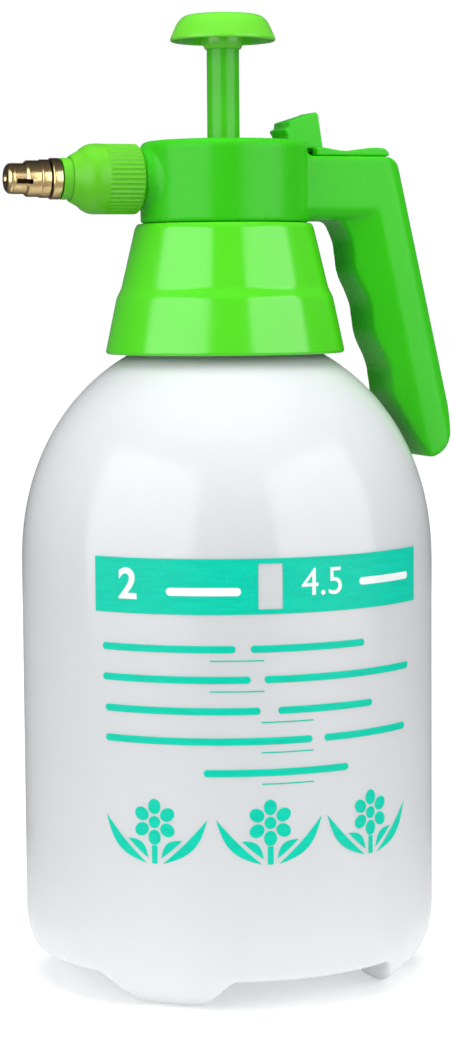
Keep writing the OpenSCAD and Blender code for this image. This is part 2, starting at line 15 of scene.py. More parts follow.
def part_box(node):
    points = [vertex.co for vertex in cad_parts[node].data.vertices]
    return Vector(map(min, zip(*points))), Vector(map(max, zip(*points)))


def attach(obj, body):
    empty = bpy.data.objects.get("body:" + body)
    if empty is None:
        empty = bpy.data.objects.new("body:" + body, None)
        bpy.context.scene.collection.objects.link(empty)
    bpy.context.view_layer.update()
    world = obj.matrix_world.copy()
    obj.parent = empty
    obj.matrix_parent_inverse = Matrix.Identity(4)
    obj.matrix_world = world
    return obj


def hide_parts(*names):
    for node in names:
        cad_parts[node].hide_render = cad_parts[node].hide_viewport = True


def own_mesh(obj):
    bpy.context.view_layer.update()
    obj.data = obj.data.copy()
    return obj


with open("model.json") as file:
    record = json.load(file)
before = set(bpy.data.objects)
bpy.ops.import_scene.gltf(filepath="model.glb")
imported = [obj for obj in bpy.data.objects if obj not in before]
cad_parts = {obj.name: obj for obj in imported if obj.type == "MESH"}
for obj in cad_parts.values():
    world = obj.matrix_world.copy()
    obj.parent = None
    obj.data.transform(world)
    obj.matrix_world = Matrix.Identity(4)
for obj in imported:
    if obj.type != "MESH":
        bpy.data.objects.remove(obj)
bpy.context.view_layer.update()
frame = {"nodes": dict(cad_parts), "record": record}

MM = 0.001


def node_box(node):
    """Corners of a CAD node in millimetres."""
    low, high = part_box(node)
    return low / MM, high / MM


# ---------------------------------------------------------------------------
# Driving dimensions, in millimetres
# ---------------------------------------------------------------------------
BODY_R = node_box("bottle")[1].x
MOUTH_Z = node_box("bottle")[1].z
WALL = 2.0
CORNER_DEPTH, CORNER_HEIGHT = 15.0, 21.6
DOME_START, DOME_RISE, DOME_POWER = 128.7, 72.5, 2.15
NECK_R, MOUTH_R, NECK_CREST_R = 23.5, 21.0, 24.9
THREAD_PITCH = 5.0
ARCH_HEIGHT, ARCH_FOOT, ARCH_ROOF = 10.0, 31.0, 26.5
FEET_TURN = math.radians(7)

COLLAR_LOW, COLLAR_HIGH = node_box("collar")[0].z, node_box("collar")[1].z
COLLAR_R = node_box("collar")[1].x
COLLAR_STEP_Z = 212.2

NOZZLE_Z = (node_box("nozzle_nut")[0].z + node_box("nozzle_nut")[1].z) / 2
NUT_START, NUT_TIP = -node_box("nozzle_nut")[1].x, -node_box("nozzle_nut")[0].x
NUT_R = node_box("nozzle_nut")[1].y
CAP_START, CAP_TIP = -node_box("nozzle_cap")[1].x, -node_box("nozzle_cap")[0].x
CAP_R = node_box("nozzle_cap")[1].y
STUB_R, STUB_END, STUB_FLANGE_END = 6.3, 52.6, 42.9

# The brass cap's seam groove and slots, measured along the nozzle from the bottle's axis.
SEAM_X, CAP_NOSE_R = 56.0, 4.65
SLOT_START, SLOT_END, SLOT_FLOOR_R, SLOT_WIDTH, SLOT_TURN = 62.2, 67.1, 3.9, 1.5, 12

KNOB_LOW, KNOB_TOP = node_box("pump_knob")[0].z, node_box("pump_knob")[1].z
KNOB_R = node_box("pump_knob")[1].x
ROD_R = node_box("pump_rod")[1].x
ROD_LOW, ROD_TOP = node_box("pump_rod")[0].z, node_box("pump_rod")[1].z

# The label sits on the bottle's wall; u runs along the wall from the label's middle.
LABEL_MIDDLE = math.radians(-6.7)
LABEL_HALF = 55.3
BAND_LOW, BAND_HIGH = 119.4, 135.7
PRINT_LIFT, OVERPRINT_LIFT, INK = 0.03, 0.09, 0.05

# Direction of the camera round the object, in degrees from -Y towards +X.
CAMERA_AZIMUTH = -19.0


# ---------------------------------------------------------------------------
# Mesh helpers
# ---------------------------------------------------------------------------
def mesh_object(name, bm, sharp_angle=40):
    """Links a bmesh given in millimetres as an object with smooth faces and sharp edges."""
    bmesh.ops.recalc_face_normals(bm, faces=bm.faces)
    bmesh.ops.scale(bm, vec=(MM, MM, MM), verts=bm.verts)
    mesh = bpy.data.meshes.new(name)
    bm.to_mesh(mesh)
    bm.free()
    mesh.shade_smooth()
    mesh.set_sharp_from_angle(angle=math.radians(sharp_angle))
    piece = bpy.data.objects.new(name, mesh)
    bpy.context.scene.collection.objects.link(piece)
    return piece


def finish_piece(piece, body, material, slot, *nodes):
    """Gives a piece its material and its body, and hides the CAD nodes that it stands for."""
    piece.data.materials.clear()
    piece.data.materials.append(material)
    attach(piece, body)
    if nodes:
        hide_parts(*nodes)
    return piece


def rounded(corners, closed=True, steps=5):
    """Outline whose corners (x, y, r) are each replaced by a curve that starts r before it."""
    points = []
    count = len(corners)
    for i, (x, y, r) in enumerate(corners):
        here = Vector((x, y))
        if r == 0 or (not closed and i in (0, count - 1)):
            points.append(here)
            continue
        before = Vector(corners[i - 1][:2]) - here
        after = Vector(corners[(i + 1) % count][:2]) - here
        reach = min(r, 0.48 * before.length, 0.48 * after.length)
        start = here + before.normalized() * reach
        end = here + after.normalized() * reach
        for k in range(steps + 1):
            t = k / steps
            points.append(start * (1 - t) ** 2 + here * 2 * t * (1 - t) + end * t ** 2)
    return points


def turned_z(radius, angle, along):
    """Place of a point turned about the bottle's axis."""
    return Vector((radius * math.cos(angle), radius * math.sin(angle), along))


def turned_nozzle(radius, angle, along):
    """Place of a point turned about the nozzle's axis, along being the distance along -X."""
    return Vector((-along, radius * math.cos(angle), NOZZLE_Z + radius * math.sin(angle)))


def bridge(bm, rings, closed=False):
    """Faces between each ring of points and the next. A ring of one point is an end on the axis."""
    pairs = list(zip(rings, rings[1:]))
    if closed:
        pairs.append((rings[-1], rings[0]))
    for low, high in pairs:
        count = max(len(low), len(high))
        for k in range(count):
            n = (k + 1) % count
            if len(low) == 1:
                bm.faces.new((low[0], high[n], high[k]))
            elif len(high) == 1:
                bm.faces.new((low[k], low[n], high[0]))
            else:
                bm.faces.new((low[k], low[n], high[n], high[k]))


def turn_points(outline, closed=False, segments=160, place=turned_z, shape=None):
    """Bmesh of an outline of (radius, along) turned about an axis.

    shape(radius, along, angle) may move a point, and gives back its radius and place along.
    An open outline starts and ends on the axis.
    """
    bm = bmesh.new()
    rings = []
    for radius, along in outline:
        if radius < 1e-6:
            rings.append([bm.verts.new(place(0, 0, along))])
            continue
        ring = []
        for k in range(segments):
            angle = 2 * math.pi * k / segments
            r, a = shape(radius, along, angle) if shape else (radius, along)
            ring.append(bm.verts.new(place(r, angle, a)))
        rings.append(ring)
    bridge(bm, rings, closed)
    return bm


def moulded(node, name, voxel, passes):
    """Copy of a CAD node whose edges are softened as a moulding's are."""
    source = frame["nodes"][node]
    bm = bmesh.new()
    bm.from_mesh(source.data)
    bmesh.ops.remove_doubles(bm, verts=bm.verts, dist=2e-6)
    mesh = bpy.data.meshes.new(name)
    bm.to_mesh(mesh)
    bm.free()
    piece = bpy.data.objects.new(name, mesh)
    bpy.context.scene.collection.objects.link(piece)
    remesh = piece.modifiers.new("remesh", "REMESH")
    remesh.mode = "VOXEL"
    remesh.voxel_size = voxel * MM
    smooth = piece.modifiers.new("smooth", "SMOOTH")
    smooth.factor = 0.5
    smooth.iterations = passes
    graph = bpy.context.evaluated_depsgraph_get()
    baked = bpy.data.meshes.new_from_object(piece.evaluated_get(graph), depsgraph=graph)
    piece.modifiers.clear()
    piece.data = baked
    baked.name = name
    baked.shade_smooth()
    return piece


# ---------------------------------------------------------------------------
# Materials
# ---------------------------------------------------------------------------
class Nodes:
    """Small wrapper that adds and links shader nodes."""

    def __init__(self, name):
        self.material = bpy.data.materials.new(name)
        self.material.use_nodes = True
        self.tree = self.material.node_tree
        self.tree.nodes.clear()
        self.output = self.tree.nodes.new("ShaderNodeOutputMaterial")
        self.principled = self.add("ShaderNodeBsdfPrincipled")
        self.link(self.principled.outputs[0], self.output.inputs["Surface"])
        self.place = self.add("ShaderNodeTexCoord").outputs["Object"]

    def add(self, kind, **values):
        node = self.tree.nodes.new(kind)
        for key, value in values.items():
            setattr(node, key, value)
        return node

    def link(self, source, target):
        self.tree.links.new(source, target)

    def set(self, **values):
        for key, value in values.items():
            self.principled.inputs[key.replace("_", " ")].default_value = value

    def math(self, operation, a, b=0.0, clamp=False):
        node = self.add("ShaderNodeMath", operation=operation, use_clamp=clamp)
        for socket, value in zip(node.inputs, (a, b)):
            if isinstance(value, (int, float)):
                socket.default_value = value
            else:
                self.link(value, socket)
        return node.outputs[0]

    def stretched(self, scale):
        node = self.add("ShaderNodeMapping")
        node.inputs["Scale"].default_value = scale
        self.link(self.place, node.inputs["Vector"])
        return node.outputs[0]

    def noise(self, scale, detail=3.0, roughness=0.5, vector=None):
        node = self.add("ShaderNodeTexNoise")
        node.inputs["Scale"].default_value = scale
        node.inputs["Detail"].default_value = detail
        node.inputs["Roughness"].default_value = roughness
        self.link(vector or self.place, node.inputs["Vector"])
        return node.outputs["Fac"]

    def remap(self, value, low, high, to_low, to_high):
        node = self.add("ShaderNodeMapRange")
        node.inputs["From Min"].default_value = low
        node.inputs["From Max"].default_value = high
        node.inputs["To Min"].default_value = to_low
        node.inputs["To Max"].default_value = to_high
        self.link(value, node.inputs["Value"])
        return node.outputs["Result"]

    def mix(self, factor, a, b, blend="MIX"):
        node = self.add("ShaderNodeMix", data_type="RGBA", blend_type=blend)
        for socket, value in ((node.inputs[0], factor), (node.inputs[6], a), (node.inputs[7], b)):
            if isinstance(value, (int, float)):
                socket.default_value = value
            elif isinstance(value, tuple):
                socket.default_value = value + (1.0,)
            else:
                self.link(value, socket)
        return node.outputs[2]

    def edges(self, radius, samples=6):
        """Mask that is 1 along convex and concave edges, and the rounded normal."""
        bevel = self.add("ShaderNodeBevel", samples=samples)
        bevel.inputs["Radius"].default_value = radius * MM
        normal = self.add("ShaderNodeNewGeometry").outputs["Normal"]
        dot = self.add("ShaderNodeVectorMath", operation="DOT_PRODUCT")
        self.link(bevel.outputs[0], dot.inputs[0])
        self.link(normal, dot.inputs[1])
        return self.remap(dot.outputs["Value"], 0.985, 0.86, 0.0, 1.0), bevel.outputs[0]

    def bump(self, height, distance, strength=1.0, normal=None):
        node = self.add("ShaderNodeBump")
        node.inputs["Strength"].default_value = strength
        node.inputs["Distance"].default_value = distance * MM
        self.link(height, node.inputs["Height"])
        if normal:
            self.link(normal, node.inputs["Normal"])
        return node.outputs[0]

    def finish(self, colour=None, roughness=None, normal=None):
        for value, name in ((colour, "Base Color"), (roughness, "Roughness"), (normal, "Normal")):
            if value is not None:
                self.link(value, self.principled.inputs[name])
        return self.material


def scaled(colour, factor):
    """Colour made lighter or darker by a factor, and kept within white."""
    return tuple(min(1.0, c * factor) for c in colour)


def moulded_plastic(name, colour, roughness=0.30, glow=0.08, texture=0.003, wear=0.3, gloss=0.2):
    """Glossy moulded polypropylene: flow marks, a faint skin texture and rubbed edges."""
    n = Nodes(name)
    flow = n.noise(22.0, 2.0, vector=n.stretched((1.0, 1.0, 0.45)))
    mottle = n.noise(700.0, 2.0)
    edge, round_normal = n.edges(0.35)
    rubbed = n.math("MULTIPLY", edge, n.remap(n.noise(260.0, 4.0), 0.42, 0.68, 0.0, wear))
    tone = n.mix(n.remap(flow, 0.3, 0.7, 0.0, 1.0), scaled(colour, 0.93), scaled(colour, 1.05))
    tone = n.mix(n.remap(mottle, 0.35, 0.65, 0.0, 0.10), tone, scaled(colour, 1.12))
    pale = tuple(0.55 * c + 0.33 for c in colour)
    tone = n.mix(rubbed, tone, pale)
    smears = n.noise(60.0, 5.0, 0.65, vector=n.stretched((1.0, 1.0, 0.3)))
    rough = n.remap(smears, 0.3, 0.75, roughness - 0.04, roughness + 0.09)
    rough = n.math("ADD", rough, n.math("MULTIPLY", rubbed, 0.25), clamp=True)
    skin = n.math("ADD", n.math("MULTIPLY", n.noise(600.0, 1.0), 0.3), n.noise(120.0, 1.0))
    n.set(Specular_IOR_Level=gloss, IOR=1.49)
    n.set(Subsurface_Weight=glow, Subsurface_Radius=(0.6, 1.0, 0.4), Subsurface_Scale=0.003)
    return n.finish(tone, rough, n.bump(skin, texture, normal=round_normal))


def bottle_plastic():
    """Milky polyethylene: soft glow, faint wall-thickness clouds and a mould parting line."""
    n = Nodes("bottle_plastic_look")
    clouds = n.noise(16.0, 3.0, vector=n.stretched((1.0, 1.0, 0.6)))
    fine = n.noise(900.0, 3.0)
    tone = n.mix(n.remap(clouds, 0.3, 0.7, 0.0, 1.0), (0.635, 0.66, 0.68), (0.672, 0.692, 0.71))
    tone = n.mix(n.remap(fine, 0.35, 0.7, 0.0, 0.12), tone, (0.70, 0.715, 0.73))
    split = n.add("ShaderNodeSeparateXYZ")
    n.link(n.place, split.inputs[0])
    parting = n.remap(n.math("ABSOLUTE", split.outputs["Y"]), 0.00012, 0.00045, 1.0, 0.0)
    rough = n.remap(n.noise(35.0, 2.0), 0.3, 0.7, 0.15, 0.20)
    skin = n.math("ADD", n.noise(70.0, 1.0), n.math("MULTIPLY", parting, 4.0))
    n.set(Subsurface_Weight=0.35, Subsurface_Radius=(0.9, 1.0, 1.0), Subsurface_Scale=0.006, IOR=1.50)
    return n.finish(tone, rough, n.bump(skin, 0.008))


def printing_ink(name, colour):
    """Screen-printed ink: flat tone with pinholes and a slightly raised, drier surface."""
    n = Nodes(name)
    speckle = n.noise(2600.0, 3.0, 0.6)
    drag = n.noise(120.0, 3.0, vector=n.stretched((1.0, 1.0, 6.0)))
    tone = n.mix(n.remap(drag, 0.3, 0.7, 0.0, 1.0), scaled(colour, 0.94), scaled(colour, 1.06))
    pale = tuple(0.5 * c + 0.42 for c in colour)
    tone = n.mix(n.remap(speckle, 0.66, 0.74, 0.0, 0.55), tone, pale)
    rough = n.remap(speckle, 0.3, 0.7, 0.34, 0.48)
    n.set(Specular_IOR_Level=0.15)
    return n.finish(tone, rough, n.bump(speckle, 0.008))


def cap_recess_shade_mask(n):
    """Mask that is 1 down in the brass cap's slots and in its seam groove, where shade is painted."""
    split = n.add("ShaderNodeSeparateXYZ")
    n.link(n.place, split.inputs[0])
    along = n.math("MULTIPLY", split.outputs["X"], -1.0 / MM)
    across = n.math("POWER", split.outputs["Y"], 2.0)
    above = n.math("POWER", n.math("SUBTRACT", split.outputs["Z"], NOZZLE_Z * MM), 2.0)
    radius = n.math("SQRT", n.math("ADD", across, above))
    past_start = n.math("GREATER_THAN", along, SLOT_START - 0.1)
    before_end = n.math("LESS_THAN", along, SLOT_END + 0.1)
    sunk = n.remap(radius, (SLOT_FLOOR_R + 0.1) * MM, (CAP_NOSE_R - 0.12) * MM, 1.0, 0.0)
    in_slot = n.math("MULTIPLY", n.math("MULTIPLY", past_start, before_end), sunk)
    off_seam = n.math("ABSOLUTE", n.math("SUBTRACT", along, SEAM_X + 0.2))
    at_seam = n.math("LESS_THAN", off_seam, 0.42)
    sunk = n.remap(radius, (CAP_R - 0.45) * MM, (CAP_R - 0.1) * MM, 1.0, 0.0)
    return n.math("MAXIMUM", in_slot, n.math("MULTIPLY", at_seam, sunk))


def turned_brass():
    """Turned brass: fine rings, bright edges, and painted shade in the recesses, in the corners and on the
    sides turned from the camera.
    """
    bright, dull, worn = (1.0, 0.78, 0.40), (0.78, 0.53, 0.23), (1.0, 0.88, 0.62)
    painted_turned_away_shade, recess, corner = (0.13, 0.075, 0.035), (0.035, 0.018, 0.008), (0.03, 0.015, 0.007)
    n = Nodes("brass_look")
    rings = n.noise(1.0, 2.0, vector=n.stretched((9000.0, 260.0, 260.0)))
    blotch = n.noise(420.0, 4.0, 0.6)
    edge, round_normal = n.edges(0.08, samples=8)
    facing = n.add("ShaderNodeLayerWeight")
    facing.inputs["Blend"].default_value = 0.5
    open_share = n.add("ShaderNodeAmbientOcclusion", samples=8)
    open_share.inputs["Distance"].default_value = 1.2 * MM
    tone = n.mix(n.remap(blotch, 0.35, 0.7, 0.0, 1.0), bright, dull)
    # Painted shade: the brass darkens to a deep brown on the sides turned away from the camera.
    tone = n.mix(n.remap(facing.outputs["Facing"], 0.10, 0.62, 0.0, 0.88), tone, painted_turned_away_shade)
    tone = n.mix(n.math("MULTIPLY", edge, 0.6), tone, worn)
    # Painted shade: the cap's slots and seam groove are coloured almost black.
    tone = n.mix(cap_recess_shade_mask(n), tone, recess)
    # Painted shade: corners that the occlusion finds closed in are coloured almost black.
    tone = n.mix(n.remap(open_share.outputs["AO"], 0.25, 0.72, 0.96, 0.0), tone, corner)
    marks = n.math("ADD", n.math("MULTIPLY", rings, 0.6), n.math("MULTIPLY", blotch, 0.4))
    rough = n.remap(marks, 0.3, 0.7, 0.16, 0.30)
    n.set(Metallic=1.0)
    return n.finish(tone, rough, n.bump(rings, 0.0015, normal=round_normal))


def bright_steel():
    """Drawn steel: fine lengthwise drawing marks."""
    n = Nodes("steel_look")
    lines = n.noise(1.0, 3.0, vector=n.stretched((2500.0, 400.0, 2500.0)))
    tone = n.mix(n.remap(lines, 0.35, 0.65, 0.0, 1.0), (0.50, 0.51, 0.53), (0.68, 0.69, 0.71))
    _, round_normal = n.edges(0.12)
    n.set(Metallic=1.0)
    return n.finish(tone, n.remap(lines, 0.3, 0.7, 0.2, 0.38), n.bump(lines, 0.004, normal=round_normal))


def black_rubber():
    """Nitrile rubber: matt, with bloom and a fine grain."""
    n = Nodes("rubber_look")
    grain = n.noise(2200.0, 3.0)
    bloom = n.noise(180.0, 4.0)
    tone = n.mix(n.remap(bloom, 0.4, 0.75, 0.0, 0.5), (0.018, 0.018, 0.02), (0.055, 0.055, 0.058))
    return n.finish(tone, n.remap(grain, 0.3, 0.7, 0.55, 0.8), n.bump(grain, 0.02))


# ---------------------------------------------------------------------------
# Bottle
# ---------------------------------------------------------------------------
def smooth_max(a, b, k):
    """Larger of two values, with their crossing rounded over a width of k."""
    h = max(k - abs(a - b), 0.0) / k
    return max(a, b) + h * h * k / 4


def smooth_min(a, b, k):
    """Smaller of two values, with their crossing rounded over a width of k."""
    return -smooth_max(-a, -b, k)


def arch_height_at(x, y, inset):
    """Height of the two crossed tunnels' ceiling, which falls below the ground outside them."""
    slope = ARCH_HEIGHT / (ARCH_FOOT - ARCH_ROOF)
    best = -100.0
    for turn in (FEET_TURN, FEET_TURN + math.pi / 2):
        side = abs(x * math.cos(turn) + y * math.sin(turn))
        flank = slope * (ARCH_FOOT + inset - side)
        ceiling = smooth_min(ARCH_HEIGHT + inset, flank, 3.0)
        best = smooth_max(best, ceiling, 1.5)
    return best


def wall_outline(inset, neck, steps):
    """Half outline of the bottle from the middle of its base up to the neck."""
    radius = BODY_R - inset
    depth, height = CORNER_DEPTH - inset, CORNER_HEIGHT - inset
    flat = radius - depth
    points = [(flat * i / steps, inset) for i in range(steps)]
    for i in range(steps + 1):
        a = math.pi / 2 * i / steps
        points.append((flat + depth * math.sin(a), inset + height * (1 - math.cos(a))))
    wall_steps = 12
    for i in range(1, wall_steps):
        points.append((radius, CORNER_HEIGHT + (DOME_START - CORNER_HEIGHT) * i / wall_steps))
    fillet = 2.0
    rise = DOME_RISE - inset
    last = math.acos((neck + fillet) / radius)
    for i in range(2 * steps):
        a = last * i / (2 * steps - 1)
        points.append((radius * math.cos(a), DOME_START + rise * math.sin(a) ** (2 / DOME_POWER)))
    top = DOME_START + rise * (1 - (neck / radius) ** 2) ** (1 / DOME_POWER)
    low = Vector(points[-1])
    corner = Vector((neck, top + 0.3))
    high = Vector((neck, top + 2.6))
    for t in (0.25, 0.5, 0.75, 1.0):
        points.append(tuple(low * (1 - t) ** 2 + corner * 2 * t * (1 - t) + high * t ** 2))
    return points


def bottle_body():
    """Blown bottle with an inside wall, four feet, dome, neck and rounded mouth."""
    outer = wall_outline(0.0, NECK_R, 44)
    inner = wall_outline(WALL, MOUTH_R, 18)
    rim = rounded([(NECK_R, MOUTH_Z - 2, 0), (NECK_R, MOUTH_Z, 0.7), (MOUTH_R, MOUTH_Z, 0.5),
                   (MOUTH_R, MOUTH_Z - 2, 0)], closed=False)
    outline = outer + [tuple(p) for p in rim] + inner[::-1]
    inner_start = len(outer) + len(rim) // 2

    bm = bmesh.new()
    segments = 288
    arch_blend = 1.6
    rings = []
    for i, (radius, height) in enumerate(outline):
        inset = 0.0 if i < inner_start else WALL
        ring = []
        for k in range(segments if radius > 1e-6 else 1):
            angle = 2 * math.pi * k / segments
            x, y = radius * math.cos(angle), radius * math.sin(angle)
            z = height
            if height < CORNER_HEIGHT:
                z = smooth_max(height, arch_height_at(x, y, inset), arch_blend)
            ring.append(bm.verts.new((x, y, z)))
        rings.append(ring)
    bridge(bm, rings)
    return mesh_object("bottle_body", bm, 60)


def helix_ridge(name, root, crest, z_low, turns):
    """Screw ridge of trapezium section that fades out at both ends."""
    base, top = 1.2, 0.5
    per_turn, fade = 72, 18
    bm = bmesh.new()
    steps = int(per_turn * turns)
    rings = []
    for i in range(steps + 1):
        angle = 2 * math.pi * i / per_turn
        share = min(1.0, i / fade, (steps - i) / fade)
        share = share * share * (3 - 2 * share)
        reach = root + (crest - root) * max(share, 0.02)
        z = z_low + THREAD_PITCH * i / per_turn
        section = [(root, -base), (reach, -top), (reach, top), (root, base)]
        rings.append([bm.verts.new(turned_z(r, angle, z + dz)) for r, dz in section])
    bridge(bm, rings)
    bm.faces.new(rings[0])
    bm.faces.new(rings[-1][::-1])
    return mesh_object(name, bm, 35)


# ---------------------------------------------------------------------------
# Printing on the bottle
# ---------------------------------------------------------------------------
def print_on_bottle(name, loops, material, lift=PRINT_LIFT):
    """Ink of the closed loops of (u, z), holes included, wrapped round the bottle's wall."""
    curve = bpy.data.curves.new(name, "CURVE")
    curve.dimensions = "2D"
    curve.fill_mode = "BOTH"
    for loop in loops:
        spline = curve.splines.new("POLY")
        spline.points.add(len(loop) - 1)
        spline.use_cyclic_u = True
        for point, (u, z) in zip(spline.points, loop):
            point.co = (u, z, 0, 1)
    flat = bpy.data.objects.new(name, curve)
    bpy.context.scene.collection.objects.link(flat)
    piece = wrap_flat(name, flat, lift)
    return finish_piece(piece, "bottle", material, "bottle_plastic")


def wrap_flat(name, flat, lift):
    """Cuts a flat object into strips and bends them round the bottle's wall as thin ink."""
    graph = bpy.context.evaluated_depsgraph_get()
    mesh = bpy.data.meshes.new_from_object(flat.evaluated_get(graph), depsgraph=graph)
    bm = bmesh.new()
    bm.from_mesh(mesh)
    bpy.data.objects.remove(flat)
    bmesh.ops.remove_doubles(bm, verts=bm.verts, dist=1e-4)
    us = [v.co.x for v in bm.verts]
    step = 1.5
    cut = math.ceil(min(us) / step) * step
    while cut < max(us):
        everything = bm.verts[:] + bm.edges[:] + bm.faces[:]
        bmesh.ops.bisect_plane(bm, geom=everything, dist=1e-4, plane_co=(cut, 0, 0), plane_no=(1, 0, 0))
        cut += step
    bmesh.ops.remove_doubles(bm, verts=bm.verts, dist=2e-3)
    base = bm.faces[:]
    grown = bmesh.ops.extrude_face_region(bm, geom=base)
    top = {v for v in grown["geom"] if isinstance(v, bmesh.types.BMVert)}
    for v in bm.verts:
        radius = BODY_R + lift + (INK if v in top else 0.0) - INK / 2
        angle = LABEL_MIDDLE + v.co.x / BODY_R
        v.co = Vector((radius * math.sin(angle), -radius * math.cos(angle), v.co.y))
    return mesh_object(name, bm, 30)


def bar(u0, u1, z0, z1, round_share=1.0, steps=8):
    """Outline of a bar with rounded ends."""
    r = min(abs(u1 - u0), abs(z1 - z0)) / 2 * round_share
    points = []
    corners = [(u1 - r, z1 - r, 0), (u0 + r, z1 - r, 90), (u0 + r, z0 + r, 180), (u1 - r, z0 + r, 270)]
    for cu, cz, first in corners:
        for k in range(steps + 1):
            a = math.radians(first + 90 * k / steps)
            points.append((cu + r * math.cos(a), cz + r * math.sin(a)))
    return points


def oval(u, z, half_u, half_z, turn=0.0, steps=28):
    """Outline of a turned oval."""
    points = []
    for k in range(steps):
        a = 2 * math.pi * k / steps
        x, y = half_u * math.cos(a), half_z * math.sin(a)
        across = x * math.cos(turn) - y * math.sin(turn)
        up = x * math.sin(turn) + y * math.cos(turn)
        points.append((u + across, z + up))
    return points


def leaf(root, tip, bow, width, steps=12):
    """Outline of a leaf from root to tip that bows sideways and is widest at its middle."""
    a, b = Vector(root), Vector(tip)
    side = Vector((-(b - a).y, (b - a).x)).normalized()
    spine = [a.lerp(b, k / steps) + side * bow * math.sin(math.pi * k / steps) for k in range(steps + 1)]
    half = [width / 2 * math.sin(math.pi * k / steps) for k in range(steps + 1)]
    left = [tuple(p + side * h) for p, h in zip(spine, half)]
    right = [tuple(p - side * h) for p, h in zip(spine, half)][1:-1]
    return left + right[::-1]


def flower(u, z_low):
    """Plain garden flower: round petals, a round centre, a stem and spreading leaves."""
    head = z_low + 12.4
    centre_r, petals, reach = 1.8, 6, 4.6
    tall_leaf = ((2.4, 0.0), (16.0, 13.6), -1.9, 2.9)
    low_leaf = ((2.0, 1.6), (8.6, 7.2), 1.0, 2.4)
    loops = [oval(u, head, centre_r, centre_r)]
    for k in range(petals):
        a = math.radians(30 + 360 * k / petals)
        loops.append(oval(u + reach * math.cos(a), head + reach * math.sin(a), 2.3, 1.95, a))
    loops.append(bar(u - 0.9, u + 0.9, z_low, head - reach - 2.4, 0.4))
    for root, tip, bow, width in (tall_leaf, low_leaf):
        drawn = leaf(root, tip, bow, width)
        loops.append([(u + x, z_low + z) for x, z in drawn])
        loops.append([(u - x, z_low + z) for x, z in drawn[::-1]])
    return loops


def digits(name, text, u, z, size, weight, material):
    """Capacity numerals, as on a measuring scale."""
    curve = bpy.data.curves.new(name, "FONT")
    curve.body = text
    curve.size = size
    curve.align_x = "CENTER"
    curve.align_y = "CENTER"
    curve.offset = weight
    flat = bpy.data.objects.new(name, curve)
    bpy.context.scene.collection.objects.link(flat)
    bpy.context.view_layer.update()
    graph = bpy.context.evaluated_depsgraph_get()
    mesh = bpy.data.meshes.new_from_object(flat.evaluated_get(graph), depsgraph=graph)
    mesh.transform(Matrix.Translation((u, z, 0)))
    bpy.data.objects.remove(flat)
    placed = bpy.data.objects.new(name, mesh)
    bpy.context.scene.collection.objects.link(placed)
    piece = wrap_flat(name, placed, OVERPRINT_LIFT)
    return finish_piece(piece, "bottle", material, "bottle_plastic")


def label(teal, white):
    """Two-tone capacity band, blank lines where wording would stand, and three flowers."""
    window = bar(-4.6, 2.6, BAND_LOW + 1.5, BAND_HIGH - 1.5, 0.06)
    edge = bar(-LABEL_HALF, LABEL_HALF, BAND_LOW, BAND_HIGH, 0.03)
    print_on_bottle("label_band", [edge, window[::-1]], teal)
    digits("label_scale_left", "2", -43.9, 127.6, 12.5, 0.3, white)
    digits("label_scale_right", "4.5", 15.3, 127.9, 11.5, 0.0, white)
    print_on_bottle("label_band_lines", [bar(-31.7, -9.7, 124.9, 127.3), bar(28.1, 50.5, 126.4, 128.6)],
                    white, OVERPRINT_LIFT)
    rows = [
        (109.3, [(-52.8, -11.4), (-7.0, 30.0)]),
        (100.3, [(-52.8, -7.0), (-3.0, 50.9)]),
        (91.1, [(-52.0, -4.2), (1.0, 33.1)]),
        (82.2, [(-52.0, 11.6), (15.5, 48.7)]),
        (72.9, [(-21.0, 23.8)]),
    ]
    thick = 2.1
    underline_low, underline_high = -3.6, -3.2
    loops = []
    for z, words in rows:
        loops += [bar(u0, u1, z - thick / 2, z + thick / 2) for u0, u1 in words]
        middle = -12.0 if z > 100 else 3.0
        loops.append(bar(middle - 7, middle + 9, z + underline_low, z + underline_high))
    print_on_bottle("label_lines", loops, teal)
    bed = 45.6
    print_on_bottle("label_flowers", flower(-36.0, bed) + flower(-1.5, bed) + flower(32.3, bed), teal)


# ---------------------------------------------------------------------------
# Turned parts
# ---------------------------------------------------------------------------
def collar_ring():
    """Screw collar: bevelled top, stepped skirt, inner sleeve and flange."""
    sleeve_r, sleeve_outer, sleeve_low, recess = 26.3, 28.5, COLLAR_LOW + 5, 209.5
    top_bore, flange_bore, flange_low, flange_high = 24.9, 21.2, 223.4, 226.4
    outline = rounded([
        (top_bore, COLLAR_HIGH, 0.4), (26.9, COLLAR_HIGH, 0.7), (27.7, COLLAR_HIGH - 1.3, 0.7),
        (32.1, COLLAR_STEP_Z + 1.5, 0.9), (33.6, COLLAR_STEP_Z - 1.5, 0.8),
        (COLLAR_R, COLLAR_LOW + 0.7, 0.6), (COLLAR_R - 0.5, COLLAR_LOW, 0.5),
        (COLLAR_R - 2.3, COLLAR_LOW, 0.5), (31.4, recess, 0.8), (sleeve_outer, recess, 0.8),
        (sleeve_outer, sleeve_low, 0.5), (sleeve_r, sleeve_low, 0.5), (sleeve_r, flange_low, 0.4),
        (flange_bore, flange_low, 0.3), (flange_bore, flange_high, 0.3), (top_bore, flange_high, 0.4)])
    return mesh_object("collar_ring", turn_points(outline, closed=True, segments=224), 35)


